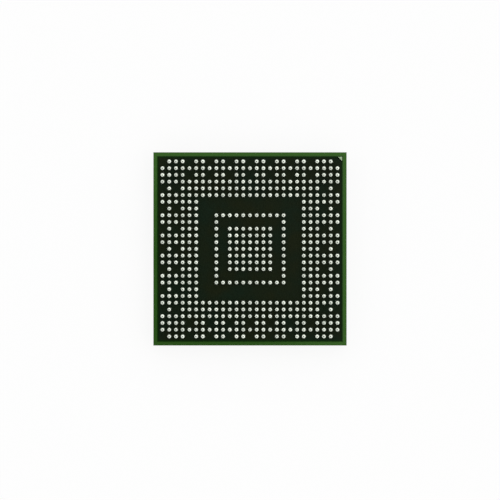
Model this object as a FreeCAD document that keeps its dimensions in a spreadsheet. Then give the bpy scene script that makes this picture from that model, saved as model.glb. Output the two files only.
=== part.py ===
# Ball grid array package: a laminated board with solder balls on one side and a bare silicon die,
# its underfill and chip capacitors on the other.
# The part lies ball side up, as it does on a bench, and rests on the back of the die.
# Origin: centre of the back of the die. +X and +Y run along the package edges, and the corner marks
# are at the +X, +Y corner. +Z points out of the ball side. Sizes are in millimetres.
import FreeCAD, Part
import math
import os

import Sketcher
from FreeCAD import Placement, Rotation, Vector

doc = FreeCAD.newDocument("ball_grid_package")

# Driving dimensions
SIZES = [
    ("ball_pitch", 0.8, "grid pitch of the solder balls"),
    ("balls_per_side", 27, "grid places along each edge"),
    ("field_rows", 6, "rows in the outer field of balls"),
    ("gap_step_count", 3, "places from one bare place to the next along a gap row"),
    ("gap_reach_count", 9, "places from the middle to the last bare place of a gap row"),
    ("rows_to_ring", 8, "rows between the package edge and the square ring"),
    ("rows_to_core", 10, "rows between the package edge and the middle block"),
    ("ball_diameter", 0.55, "solder ball"),
    ("land_diameter", 0.44, "flat foot that the ball is soldered by"),
    ("edge_margin", 1.1, "from the outermost row of balls to the package edge"),
    ("laminate_thickness", 1.0, "glass-cloth core with its build-up layers"),
    ("copper_thickness", 0.02, "outer copper plane on each side"),
    ("mask_thickness", 0.03, "solder mask over copper"),
    ("copper_setback", 0.46, "bare laminate between package edge and copper planes"),
    ("mark_leg", 0.48, "leg of the triangular corner marks"),
    ("mark_inset", 0.08, "from the copper planes' edges to the corner marks"),
    ("plating_thickness", 0.02, "plating on the corner marks and fiducials"),
    ("fiducial_width", 0.5, "square plated target for placing the die"),
    ("fiducial_inset", 2.4, "from the package edges to a fiducial's centre"),
    ("die_width", 8.4, "edge of the square die"),
    ("die_thickness", 0.775, "silicon"),
    ("bump_height", 0.075, "gap between die and board, full of bumps and resin"),
    ("resin_width", 0.85, "underfill out from the die, at the board"),
    ("waist_width", 0.3, "underfill out from the die, at its waist"),
    ("lip_width", 0.04, "underfill out from the die, at its lip"),
    ("waist_height", 0.24, "waist of the underfill above the board"),
    ("lip_height", 0.58, "lip of the underfill above the board"),
    ("dispense_width", 0.65, "extra reach on the side that the resin was poured from"),
    ("resin_corner", 0.9, "corner radius of the underfill at the board"),
    ("lip_corner", 0.1, "corner radius of the underfill at its lip"),
    ("chip_length", 1.0, "chip capacitor over its end caps"),
    ("chip_width", 0.5, "chip capacitor"),
    ("chip_height", 0.5, "chip capacitor"),
    ("chip_bevel", 0.03, "bevelled long edges of the end caps"),
    ("cap_length", 0.25, "end cap of a chip capacitor, along the chip"),
    ("cap_skin", 0.03, "thickness of an end cap's metal"),
    ("chip_pitch", 2.6, "from chip to chip along a row"),
    ("chip_clearance", 0.5, "from the widest underfill to the rows of chips"),
    ("solder_gap", 0.03, "solder between the mask's face and a chip"),
    ("solder_toe", 0.2, "solder fillet beyond a chip's end, at the board"),
    ("solder_climb", 0.34, "height of the solder fillet above the mask's face"),
    ("solder_hollow", 0.8, "radius of the solder fillet's hollow slope"),
    ("window_margin", 0.05, "mask window round a chip's solder, at each side"),
    ("land_overlap", 0.05, "copper land under the mask, round its window"),
    ("land_gap", 0.1, "bare laminate between a land and the copper plane"),
]
ALIASES = {alias for alias, _, _ in SIZES}
SIDES = 4
CHIPS_PER_ROW = 3
GAP_ROWS = (0, 2)
GOLDEN = (1 + math.sqrt(5)) / 2

sheet = doc.addObject("Spreadsheet::Sheet", "Sizes")
for row, (alias, value, meaning) in enumerate(SIZES, start=1):
    sheet.set(f"A{row}", meaning)
    sheet.set(f"B{row}", str(value))
    sheet.setAlias(f"B{row}", alias)
doc.recompute()


def size(alias):
    """Value of one cell of the sheet."""
    return float(sheet.get(alias))


def cells(text):
    """Expression in which every size is written as its cell of the sheet."""
    words = text.replace("(", "( ").replace(")", " )").split()
    return " ".join(f"Sizes.{word}" if word in ALIASES else word for word in words)


# Heights of the layers, from the back of the die up
DIE_SIDE_FACE = "die_thickness + bump_height"
LAMINATE_FOOT = f"{DIE_SIDE_FACE} + mask_thickness + copper_thickness"
LAMINATE_TOP = f"{LAMINATE_FOOT} + laminate_thickness"
COPPER_TOP = f"{LAMINATE_TOP} + copper_thickness"
BALL_SIDE_FACE = f"{COPPER_TOP} + mask_thickness"
# Plan of the board
PACKAGE_SIDE = "( ( balls_per_side - 1 ) * ball_pitch + 2 * edge_margin )"
COPPER_SIDE = f"( {PACKAGE_SIDE} - 2 * copper_setback )"
FIDUCIAL_AWAY = f"( {PACKAGE_SIDE} / 2 - fiducial_inset )"
MARK_AWAY = f"( {COPPER_SIDE} / 2 - mark_inset )"
# Rows of chips: distance from the package's middle, and solder windows at the ends of a chip
CHIP_ROW = "( die_width / 2 + resin_width + dispense_width + chip_clearance + chip_width / 2 )"
WINDOW_LENGTH = "( cap_length + solder_toe )"
WINDOW_WIDTH = "( chip_width + 2 * window_margin )"

UP = Rotation()
DOWN = Rotation(Vector(1, 0, 0), 180)
Z_AXIS = Vector(0, 0, 1)


def new_body(name, height, turn=UP):
    """Body whose local XY plane lies at a height, and whose local +Z points up or down."""
    body = doc.addObject("PartDesign::Body", name)
    body.Label = name
    body.AllowCompound = True
    body.Placement = Placement(Vector(), turn)
    body.setExpression("Placement.Base.z", cells(height))
    return body


def new_sketch(body, name, plane="XY_Plane", lift=None):
    """Empty sketch on one of the body's own origin planes, or lifted off it."""
    sketch = body.newObject("Sketcher::SketchObject", f"{body.Name}_{name}")
    origin = [feature for feature in body.Origin.OriginFeatures if feature.Role == plane]
    sketch.AttachmentSupport = [(origin[0], "")]
    sketch.MapMode = "FlatFace"
    if lift:
        sketch.setExpression("AttachmentOffset.Base.z", cells(lift))
    return sketch


def dimension(sketch, kind, *where, name, to, drawn=1.0):
    """Named dimension of a sketch, bound to the sheet. It starts at the size that is drawn."""
    index = sketch.addConstraint(Sketcher.Constraint(kind, *where, drawn))
    sketch.renameConstraint(index, name)
    sketch.setExpression(f"Constraints.{name}", cells(to))


def outline(sketch, points):
    """Closed run of straight edges, joined corner to corner. Returns their indices."""
    corners = [Vector(x, y, 0) for x, y in points]
    edges = []
    for start, end in zip(corners, corners[1:] + corners[:1]):
        edges.append(sketch.addGeometry(Part.LineSegment(start, end), False))
    for edge, following in zip(edges, edges[1:] + edges[:1]):
        sketch.addConstraint(Sketcher.Constraint("Coincident", edge, 2, following, 1))
    return edges


def square_up(sketch, edges):
    """Holds the edges of a rectangle level and upright, in turn."""
    for edge, direction in zip(edges, ("Horizontal", "Vertical") * 2):
        sketch.addConstraint(Sketcher.Constraint(direction, edge))


def centred_rectangle(sketch, width, depth):
    """Rectangle about the sketch's origin."""
    edges = outline(sketch, [(-1, -1), (1, -1), (1, 1), (-1, 1)])
    square_up(sketch, edges)
    sketch.addConstraint(Sketcher.Constraint("Symmetric", edges[0], 1, edges[2], 1, -1, 1))
    dimension(sketch, "DistanceX", edges[0], 1, edges[0], 2, name="width", to=width)
    dimension(sketch, "DistanceY", edges[1], 1, edges[1], 2, name="depth", to=depth)


def placed_rectangle(sketch, tag, left, low, width, depth):
    """Rectangle whose lower left corner is placed from the sketch's origin."""
    edges = outline(sketch, [(1, 1), (2, 1), (2, 2), (1, 2)])
    square_up(sketch, edges)
    dimension(sketch, "DistanceX", edges[0], 1, edges[0], 2, name=f"{tag}_width", to=width)
    dimension(sketch, "DistanceY", edges[1], 1, edges[1], 2, name=f"{tag}_depth", to=depth)
    dimension(sketch, "DistanceX", -1, 1, edges[0], 1, name=f"{tag}_left", to=left)
    dimension(sketch, "DistanceY", -1, 1, edges[0], 1, name=f"{tag}_low", to=low)


def rounded_rectangle(sketch, reach, low_reach, corner):
    """Rectangle with round corners, as wide each way as its reach, and its own reach on the low side."""
    wide, turn = 3, 1
    straight = wide - turn
    edges = []
    for quarter in range(SIDES):
        spin = Rotation(Z_AXIS, 90 * quarter)
        start = spin.multVec(Vector(-straight, -wide, 0))
        end = spin.multVec(Vector(straight, -wide, 0))
        edges.append(sketch.addGeometry(Part.LineSegment(start, end), False))
        middle = spin.multVec(Vector(straight, -straight, 0))
        first = math.radians(90 * quarter - 90)
        circle = Part.Circle(middle, Z_AXIS, turn)
        edges.append(sketch.addGeometry(Part.ArcOfCircle(circle, first, first + math.pi / 2), False))
    for edge, following in zip(edges, edges[1:] + edges[:1]):
        sketch.addConstraint(Sketcher.Constraint("Tangent", edge, 2, following, 1))
    low, right, high, left = edges[0::2]
    square_up(sketch, (low, right, high, left))
    for arc in edges[3::2]:
        sketch.addConstraint(Sketcher.Constraint("Equal", edges[1], arc))
    dimension(sketch, "Radius", edges[1], name="corner", to=corner, drawn=turn)
    dimension(sketch, "DistanceX", -1, 1, right, 1, name="right", to=reach, drawn=wide)
    dimension(sketch, "DistanceX", left, 1, -1, 1, name="left", to=reach, drawn=wide)
    dimension(sketch, "DistanceY", -1, 1, high, 1, name="high", to=reach, drawn=wide)
    dimension(sketch, "DistanceY", low, 1, -1, 1, name="low", to=low_reach, drawn=wide)


def corner_triangle(sketch, y_way):
    """Right-angled corner mark at the +X corner, on the +Y or the -Y side of the sketch."""
    edges = outline(sketch, [(2, y_way), (2, 2 * y_way), (1, 2 * y_way)])
    leg_x, leg_y = edges[1], edges[0]
    sketch.addConstraint(Sketcher.Constraint("Vertical", leg_y))
    sketch.addConstraint(Sketcher.Constraint("Horizontal", leg_x))
    dimension(sketch, "DistanceX", -1, 1, leg_y, 2, name="corner_x", to=MARK_AWAY)
    dimension(sketch, "DistanceX", leg_x, 2, leg_x, 1, name="leg_x", to="mark_leg")
    first, last = (1, 2) if y_way > 0 else (2, 1)
    dimension(sketch, "DistanceY", leg_y, first, leg_y, last, name="leg_y", to="mark_leg")
    ends = (-1, 1, leg_y, 2) if y_way > 0 else (leg_y, 2, -1, 1)
    dimension(sketch, "DistanceY", *ends, name="corner_y", to=MARK_AWAY)


def fiducial_squares(sketch):
    """Two targets at opposite corners of the die side, clear of the corner mark."""
    for tag, way in (("first", 1), ("second", -1)):
        low = f"{way} * {FIDUCIAL_AWAY} - fiducial_width / 2"
        placed_rectangle(sketch, tag, low, low, "fiducial_width", "fiducial_width")


def add_pad(body, sketch, length, midplane=False):
    """Pad from the sketch along its normal, or to both sides of it."""
    pad = body.newObject("PartDesign::Pad", f"{sketch.Name}_pad")
    pad.Profile = sketch
    pad.SideType = "Symmetric" if midplane else "One side"
    pad.setExpression("Length", cells(length))
    doc.recompute()
    body.Tip = pad
    return pad


def add_pocket(body, sketch, depth, midplane=False):
    """Pocket from the sketch along its normal, or to both sides, which has to take material away."""
    before = body.Shape.Volume
    pocket = body.newObject("PartDesign::Pocket", f"{sketch.Name}_pocket")
    pocket.Profile = sketch
    pocket.SideType = "Symmetric" if midplane else "One side"
    pocket.Reversed = not midplane
    pocket.setExpression("Length", cells(depth))
    doc.recompute()
    body.Tip = pocket
    if body.Shape.Volume >= before:
        raise RuntimeError(f"{pocket.Name} cuts nothing")
    return pocket


def repeat_for_chips(body, features, sketch):
    """Repeats features of the first chip for every chip of every row."""
    along = body.newObject("PartDesign::LinearPattern", f"{features[0].Name}_along")
    along.Direction = (sketch, ["H_Axis"])
    along.setExpression("Length", cells(f"{CHIPS_PER_ROW - 1} * chip_pitch"))
    along.Occurrences = CHIPS_PER_ROW
    around = body.newObject("PartDesign::PolarPattern", f"{features[0].Name}_around")
    around.Axis = (sketch, ["N_Axis"])
    around.Angle = 360
    around.Occurrences = SIDES
    repeat = body.newObject("PartDesign::MultiTransform", f"{features[0].Name}_repeat")
    repeat.Originals = features
    repeat.Transformations = [along, around]
    body.Tip = repeat
    doc.recompute()


# Places of the first chip: its row starts half a row before the middle, on the low side
FIRST_CHIP = f"( {CHIPS_PER_ROW - 1} * chip_pitch / 2 )"
LEFT_WINDOW = f"0 - {FIRST_CHIP} - chip_length / 2 - solder_toe"
RIGHT_WINDOW = f"0 - {FIRST_CHIP} + chip_length / 2 - cap_length"


def solder_windows(sketch):
    """Windows in the mask at both ends of the first chip."""
    low = f"0 - {CHIP_ROW} - {WINDOW_WIDTH} / 2"
    placed_rectangle(sketch, "left", LEFT_WINDOW, low, WINDOW_LENGTH, WINDOW_WIDTH)
    placed_rectangle(sketch, "right", RIGHT_WINDOW, low, WINDOW_LENGTH, WINDOW_WIDTH)


def land_clearing(sketch):
    """Bare ring that parts the first chip's supply land from the copper plane."""
    for tag, around in (("land", "land_overlap"), ("clearing", "( land_overlap + land_gap )")):
        left = f"{LEFT_WINDOW} - {around}"
        low = f"0 - {CHIP_ROW} - {WINDOW_WIDTH} / 2 - {around}"
        length = f"{WINDOW_LENGTH} + 2 * {around}"
        width = f"{WINDOW_WIDTH} + 2 * {around}"
        placed_rectangle(sketch, tag, left, low, length, width)


def solder_fillet(sketch, way):
    """Solder under and beside one end of the first chip: its slope is a hollow arc."""
    points = [(0, 0), (4 * way, 0), (3 * way, 2), (3 * way, 1), (0, 1)]
    corners = [Vector(x, y, 0) for x, y in points]
    middle = Vector(5 * way, 2.5, 0)
    toe, climb = corners[1], corners[2]
    halfway = middle + ((toe + climb) * 0.5 - middle).normalize() * (toe - middle).Length
    slope = Part.Arc(toe, halfway, climb)
    floor = sketch.addGeometry(Part.LineSegment(corners[0], corners[1]), False)
    arc = sketch.addGeometry(slope, False)
    wall = sketch.addGeometry(Part.LineSegment(corners[2], corners[3]), False)
    under = sketch.addGeometry(Part.LineSegment(corners[3], corners[4]), False)
    heel = sketch.addGeometry(Part.LineSegment(corners[4], corners[0]), False)
    arc_toe, arc_climb = (2, 1) if way > 0 else (1, 2)
    sketch.addConstraint(Sketcher.Constraint("Coincident", floor, 2, arc, arc_toe))
    sketch.addConstraint(Sketcher.Constraint("Coincident", arc, arc_climb, wall, 1))
    sketch.addConstraint(Sketcher.Constraint("Coincident", wall, 2, under, 1))
    sketch.addConstraint(Sketcher.Constraint("Coincident", under, 2, heel, 1))
    sketch.addConstraint(Sketcher.Constraint("Coincident", heel, 2, floor, 1))
    sketch.addConstraint(Sketcher.Constraint("PointOnObject", floor, 1, -1))
    sketch.addConstraint(Sketcher.Constraint("Horizontal", floor))
    sketch.addConstraint(Sketcher.Constraint("Vertical", wall))
    sketch.addConstraint(Sketcher.Constraint("Horizontal", under))
    sketch.addConstraint(Sketcher.Constraint("Vertical", heel))
    inner, outer = (1, 2) if way > 0 else (2, 1)
    dimension(sketch, "DistanceX", floor, inner, floor, outer, name="length", to=WINDOW_LENGTH)
    dimension(sketch, "DistanceX", under, outer, under, inner, name="under", to="cap_length")
    dimension(sketch, "DistanceY", heel, 2, heel, 1, name="gap", to="solder_gap")
    dimension(sketch, "DistanceY", floor, 1, wall, 1, name="climb", to="solder_climb")
    dimension(sketch, "Radius", arc, name="hollow", to="solder_hollow")
    end = f"{FIRST_CHIP} - {way} * ( chip_length / 2 - cap_length )"
    dimension(sketch, "DistanceX", floor, 1, -1, 1, name="place", to=end)


def make_laminate():
    """Board of glass cloth and resin, sawn square."""
    body = new_body("laminate_board", LAMINATE_FOOT)
    sketch = new_sketch(body, "outline")
    centred_rectangle(sketch, PACKAGE_SIDE, PACKAGE_SIDE)
    add_pad(body, sketch, "laminate_thickness")
    return body


def make_ball_side_copper():
    """Outer copper plane of the ball side."""
    body = new_body("ball_side_copper", LAMINATE_TOP)
    sketch = new_sketch(body, "outline")
    centred_rectangle(sketch, COPPER_SIDE, COPPER_SIDE)
    add_pad(body, sketch, "copper_thickness")
    return body


def make_die_side_copper():
    """Outer copper plane of the die side, with a supply land of its own for each chip."""
    body = new_body("die_side_copper", LAMINATE_FOOT, DOWN)
    sketch = new_sketch(body, "outline")
    centred_rectangle(sketch, COPPER_SIDE, COPPER_SIDE)
    add_pad(body, sketch, "copper_thickness")
    clearing = new_sketch(body, "clearing")
    land_clearing(clearing)
    pocket = add_pocket(body, clearing, "copper_thickness")
    repeat_for_chips(body, [pocket], clearing)
    return body


def make_mask(name, height, turn, mark_way):
    """Solder mask that covers one side of the board and its copper, with a window for the mark."""
    body = new_body(name, height, turn)
    sheet_outline = new_sketch(body, "outline")
    centred_rectangle(sheet_outline, PACKAGE_SIDE, PACKAGE_SIDE)
    add_pad(body, sheet_outline, "copper_thickness + mask_thickness")
    copper = new_sketch(body, "copper")
    centred_rectangle(copper, COPPER_SIDE, COPPER_SIDE)
    add_pocket(body, copper, "copper_thickness")
    window = new_sketch(body, "mark_window", lift="copper_thickness")
    corner_triangle(window, mark_way)
    add_pocket(body, window, "mask_thickness")
    return body


def make_die_side_mask():
    """Mask of the die side: it fills the clearings and leaves windows for solder and fiducials."""
    body = make_mask("die_side_mask", LAMINATE_FOOT, DOWN, -1)
    clearing = new_sketch(body, "clearing")
    land_clearing(clearing)
    filling = add_pad(body, clearing, "copper_thickness")
    repeat_for_chips(body, [filling], clearing)
    windows = new_sketch(body, "solder_windows", lift="copper_thickness")
    solder_windows(windows)
    pocket = add_pocket(body, windows, "mask_thickness")
    repeat_for_chips(body, [pocket], windows)
    targets = new_sketch(body, "fiducial_windows", lift="copper_thickness")
    fiducial_squares(targets)
    add_pocket(body, targets, "mask_thickness")
    return body


def make_mark(name, height, turn, mark_way):
    """Plated triangle that shows the first corner."""
    body = new_body(name, height, turn)
    sketch = new_sketch(body, "outline")
    corner_triangle(sketch, mark_way)
    add_pad(body, sketch, "plating_thickness")
    return body


def make_fiducials():
    """Two plated targets, bare for the camera that places the die."""
    body = new_body("fiducials", f"{DIE_SIDE_FACE} + mask_thickness", DOWN)
    sketch = new_sketch(body, "outline")
    fiducial_squares(sketch)
    add_pad(body, sketch, "plating_thickness")
    return body


def make_die():
    """Silicon die, face to the board."""
    body = new_body("silicon_die", "0")
    sketch = new_sketch(body, "outline")
    centred_rectangle(sketch, "die_width", "die_width")
    add_pad(body, sketch, "die_thickness")
    return body


def make_underfill():
    """Resin under the die and up its sides: lofted through three outlines, then bored for the die."""
    body = new_body("underfill", DIE_SIDE_FACE, DOWN)
    half_die = "die_width / 2"
    foot = new_sketch(body, "foot")
    reach = f"{half_die} + resin_width"
    rounded_rectangle(foot, reach, f"{reach} + dispense_width", "resin_corner")
    waist = new_sketch(body, "waist", lift="waist_height")
    reach = f"{half_die} + waist_width"
    low_reach = f"{reach} + dispense_width * waist_width / resin_width / 2"
    rounded_rectangle(waist, reach, low_reach, "resin_corner * waist_width / resin_width")
    lip = new_sketch(body, "lip", lift="lip_height")
    reach = f"{half_die} + lip_width"
    rounded_rectangle(lip, reach, reach, "lip_corner")
    doc.recompute()
    loft = body.newObject("PartDesign::AdditiveLoft", "underfill_loft")
    loft.Profile = foot
    loft.Sections = [waist, lip]
    loft.Ruled = True
    doc.recompute()
    body.Tip = loft
    seat = new_sketch(body, "die_seat", lift="bump_height")
    centred_rectangle(seat, "die_width", "die_width")
    add_pocket(body, seat, "lip_height")
    return body


def make_capacitor_solder():
    """Solder at both ends of every chip: it fills its window and climbs the end cap."""
    body = new_body("capacitor_solder", f"{DIE_SIDE_FACE} + mask_thickness", DOWN)
    windows = new_sketch(body, "windows")
    solder_windows(windows)
    features = [add_pad(body, windows, "mask_thickness")]
    for tag, way in (("left", -1), ("right", 1)):
        fillet = new_sketch(body, f"{tag}_fillet", "XZ_Plane", CHIP_ROW)
        fillet.setExpression("AttachmentOffset.Base.y", cells("mask_thickness"))
        solder_fillet(fillet, way)
        features.append(add_pad(body, fillet, "chip_width", midplane=True))
    repeat_for_chips(body, features, windows)
    return body


def place_chip(body, quarter, place):
    """Sets a chip in its row, on one of the four sides of the die."""
    body.Placement = Placement(Vector(), DOWN.multiply(Rotation(Z_AXIS, 90 * quarter)))
    cosine = (1, 0, -1, 0)[quarter]
    sine = (0, 1, 0, -1)[quarter]
    along = f"{place} * chip_pitch"
    body.setExpression("Placement.Base.x", cells(f"{cosine} * {along} + {sine} * {CHIP_ROW}"))
    body.setExpression("Placement.Base.y", cells(f"{cosine} * {CHIP_ROW} - {sine} * {along}"))
    body.setExpression("Placement.Base.z", cells(f"{DIE_SIDE_FACE} - solder_gap - chip_height / 2"))


CERAMIC_LENGTH = "( chip_length - 2 * cap_skin )"
CERAMIC_WIDTH = "( chip_width - 2 * cap_skin )"
CERAMIC_HEIGHT = "( chip_height - 2 * cap_skin )"


def make_ceramic(number, quarter, place):
    """Ceramic block of a chip capacitor."""
    body = new_body(f"capacitor_{number:02d}_block", "0")
    place_chip(body, quarter, place)
    section = new_sketch(body, "section", "YZ_Plane")
    centred_rectangle(section, CERAMIC_WIDTH, CERAMIC_HEIGHT)
    add_pad(body, section, CERAMIC_LENGTH, midplane=True)
    return body


def make_end_caps(number, quarter, place):
    """Two metal cups that wrap the ends of a chip capacitor."""
    body = new_body(f"capacitor_{number:02d}_end_caps", "0")
    place_chip(body, quarter, place)
    section = new_sketch(body, "section", "YZ_Plane")
    centred_rectangle(section, "chip_width", "chip_height")
    pad = add_pad(body, section, "chip_length", midplane=True)
    long_edges = []
    for index, edge in enumerate(pad.Shape.Edges, start=1):
        if edge.BoundBox.XLength > size("chip_length") / 2:
            long_edges.append(f"Edge{index}")
    bevel = body.newObject("PartDesign::Chamfer", f"{body.Name}_bevel")
    bevel.Base = (pad, long_edges)
    bevel.setExpression("Size", cells("chip_bevel"))
    doc.recompute()
    body.Tip = bevel
    hollow = new_sketch(body, "hollow", "YZ_Plane")
    centred_rectangle(hollow, CERAMIC_WIDTH, CERAMIC_HEIGHT)
    add_pocket(body, hollow, CERAMIC_LENGTH, midplane=True)
    middle = new_sketch(body, "middle")
    centred_rectangle(middle, "chip_length - 2 * cap_length", "2 * chip_width")
    add_pocket(body, middle, "2 * chip_height", midplane=True)
    return body


def ring_of_three(radius, height, turn):
    """Three points of a level ring, as a list of vectors."""
    points = []
    for third in range(3):
        angle = math.radians(120 * third + turn)
        points.append(Vector(radius * math.cos(angle), radius * math.sin(angle), height))
    return points


def make_ball():
    """Solder ball as a twenty-faced solid that stands on one face, its foot.

    Four rings of three corners follow the true ball, cut flat at the land: the foot, two rings about
    the widest part, and the crown at full height.
    """
    radius = size("ball_diameter") / 2
    foot_radius = size("land_diameter") / 2
    centre = math.sqrt(radius ** 2 - foot_radius ** 2)
    height = centre + radius
    low_level = height / GOLDEN ** 2
    high_level = height / GOLDEN
    low_radius = math.sqrt(radius ** 2 - (low_level - centre) ** 2)
    high_radius = math.sqrt(radius ** 2 - (high_level - centre) ** 2)
    foot = ring_of_three(foot_radius, 0, 60)
    low = ring_of_three(low_radius, low_level, 0)
    high = ring_of_three(high_radius, high_level, 60)
    crown = ring_of_three(high_radius / GOLDEN, height, 0)
    corners = [foot[::-1], crown]
    for this, following in ((0, 1), (1, 2), (2, 0)):
        corners.append([crown[this], high[this], crown[following]])
        corners.append([crown[this], low[this], high[this]])
        corners.append([high[this], low[following], crown[following]])
        corners.append([foot[this], high[this], low[this]])
        corners.append([foot[this], low[following], high[this]])
        corners.append([foot[this], foot[following], low[following]])
    faces = [Part.Face(Part.makePolygon(points + points[:1])) for points in corners]
    ball = Part.Solid(Part.Shell(faces))
    if ball.Volume < 0:
        ball.reverse()
    return ball


def ball_group(column, row):
    """Name of the group that a grid place's ball belongs to, or None for a bare place."""
    last = int(size("balls_per_side")) - 1
    from_x_edge = min(column, last - column)
    from_y_edge = min(row, last - row)
    depth = min(from_x_edge, from_y_edge)
    if depth >= size("rows_to_core"):
        return "core_balls"
    if depth == size("rows_to_ring"):
        return "ring_balls"
    if depth >= size("field_rows") or from_x_edge == from_y_edge == 0:
        return None
    for across, along in ((from_x_edge, row), (from_y_edge, column)):
        from_middle = abs(along - last / 2)
        in_gap_row = across in GAP_ROWS and from_middle <= size("gap_reach_count")
        if in_gap_row and from_middle % size("gap_step_count") == 0:
            return None
    return "outer_field_balls"


def make_balls():
    """Three groups of solder balls, set on the mask's face by the rule of the ball map."""
    ball = make_ball()
    places = int(size("balls_per_side"))
    pitch = size("ball_pitch")
    half_span = (places - 1) * pitch / 2
    groups = {"outer_field_balls": [], "ring_balls": [], "core_balls": []}
    for column in range(places):
        for row in range(places):
            group = ball_group(column, row)
            if group:
                place = Vector(column * pitch - half_span, row * pitch - half_span, 0)
                groups[group].append(ball.translated(place))
    features = []
    for name, balls in groups.items():
        feature = doc.addObject("Part::Feature", name)
        feature.Label = name
        feature.Shape = Part.makeCompound(balls)
        feature.setExpression("Placement.Base.z", cells(BALL_SIDE_FACE))
        features.append(feature)
    return features


pieces = [
    make_laminate(),
    make_ball_side_copper(),
    make_mask("ball_side_mask", LAMINATE_TOP, UP, 1),
    make_mark("ball_side_corner_mark", COPPER_TOP, UP, 1),
    make_die_side_copper(),
    make_die_side_mask(),
    make_mark("die_side_corner_mark", f"{DIE_SIDE_FACE} + mask_thickness", DOWN, -1),
    make_fiducials(),
    make_die(),
    make_underfill(),
    make_capacitor_solder(),
]
for quarter in range(SIDES):
    for index in range(CHIPS_PER_ROW):
        number = quarter * CHIPS_PER_ROW + index + 1
        place = index - (CHIPS_PER_ROW - 1) / 2
        pieces.append(make_ceramic(number, quarter, place))
        pieces.append(make_end_caps(number, quarter, place))
pieces.extend(make_balls())
doc.recompute()

for item in doc.Objects:
    if "Invalid" in item.State or "Error" in item.State:
        raise RuntimeError(f"{item.Label} failed: {item.State}")
for piece in pieces:
    if piece.Shape.isNull() or not piece.Shape.isValid() or not piece.Shape.Solids:
        raise RuntimeError(f"{piece.Label} has no sound solid")

os.makedirs("parts", exist_ok=True)
for piece in pieces:
    piece.Shape.exportStep(f"parts/{piece.Label}.step")
    count = len(piece.Shape.Solids)
    print(f"{piece.Label}: {count} solids, {piece.Shape.Volume:.4f} cubic millimetres")
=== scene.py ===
"""Ball grid array package, ball side up: its finishes, its fine forms and the studio round it."""
import logging
import math
from collections.abc import Callable
from dataclasses import dataclass, field
from enum import Enum
from typing import Protocol

import bmesh
import bpy
from bmesh.types import BMesh, BMVert
from bpy.types import Material, Mesh, Node, NodeSocket, NodeTree, Object
from mathutils import Color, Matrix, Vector


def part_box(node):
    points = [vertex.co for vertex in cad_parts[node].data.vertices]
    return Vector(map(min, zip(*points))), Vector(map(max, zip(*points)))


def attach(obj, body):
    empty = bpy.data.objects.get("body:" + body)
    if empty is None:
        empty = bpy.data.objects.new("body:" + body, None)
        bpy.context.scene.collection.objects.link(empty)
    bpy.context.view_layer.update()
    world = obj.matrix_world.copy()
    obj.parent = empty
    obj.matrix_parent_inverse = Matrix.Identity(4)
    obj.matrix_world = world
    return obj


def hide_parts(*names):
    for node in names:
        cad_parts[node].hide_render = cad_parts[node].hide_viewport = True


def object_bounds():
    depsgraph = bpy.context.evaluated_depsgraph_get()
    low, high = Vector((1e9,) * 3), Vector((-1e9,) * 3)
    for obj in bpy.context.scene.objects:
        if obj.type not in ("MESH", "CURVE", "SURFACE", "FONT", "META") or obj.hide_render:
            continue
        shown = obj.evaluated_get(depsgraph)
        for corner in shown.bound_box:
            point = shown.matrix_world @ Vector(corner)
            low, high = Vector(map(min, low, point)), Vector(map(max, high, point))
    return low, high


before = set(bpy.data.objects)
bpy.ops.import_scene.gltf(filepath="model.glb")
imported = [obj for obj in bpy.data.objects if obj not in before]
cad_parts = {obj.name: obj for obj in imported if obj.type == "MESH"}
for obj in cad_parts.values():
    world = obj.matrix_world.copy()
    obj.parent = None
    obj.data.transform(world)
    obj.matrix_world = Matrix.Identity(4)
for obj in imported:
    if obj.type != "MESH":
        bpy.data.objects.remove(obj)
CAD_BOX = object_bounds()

log = logging.getLogger("package")

Colour = tuple[float, float, float]
Point = tuple[float, float, float]
Limits = tuple[float, float]
Ring = list[Point]
Stops = tuple[tuple[float, Colour], ...]
Sockets = dict[str | int, object]

MM = 0.001
PER_MM = 1000.0
MERGE = 1e-8
SCREEN_WHITE = 255
WHITE: Colour = (1.0, 1.0, 1.0)
ROOT = "root"
# How many finer patterns lie over the first one of a noise
SOFT, CLEAR, FINE = 2.0, 3.0, 4.0
# Limits that part a noise softly into two halves
HALVES: Limits = (0.3, 0.7)
# Sockets that only their numbers tell apart: factor and colours, then limits and seed
MIX_INPUTS, MIX_OUTPUT = (0, 6, 7), 2
RANDOM_INPUTS, RANDOM_OUTPUT = (2, 3, 8), 1


def display(red: int, green: int, blue: int) -> Colour:
    """Turns a colour as a screen shows it, 0 to 255, into the linear one that shaders use."""
    shown = Color((red, green, blue)) / SCREEN_WHITE
    return tuple(shown.from_srgb_to_scene_linear())


def operator(operation: str, number_first: bool = False) -> Callable[..., "Wire"]:
    """Makes an operator of Wire.

    Args:
        operation: The Math node's operation.
        number_first: Whether the other value, a plain number, stands first.

    Returns:
        The method that adds the node.
    """

    def add_node(self: "Wire", other: "Wire | float") -> "Wire":
        """Adds the Math node for this wire and another value."""
        values = (other, self) if number_first else (self, other)
        return self.graph.math(operation, *values)

    return add_node


@dataclass(frozen=True)
class Wire:
    """Output of a node, on which arithmetic adds Math nodes."""

    graph: "Graph"
    socket: NodeSocket

    __add__, __radd__ = operator("ADD"), operator("ADD", True)
    __sub__, __rsub__ = operator("SUBTRACT"), operator("SUBTRACT", True)
    __mul__, __rmul__ = operator("MULTIPLY"), operator("MULTIPLY", True)
    __truediv__, __rtruediv__ = operator("DIVIDE"), operator("DIVIDE", True)


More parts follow.
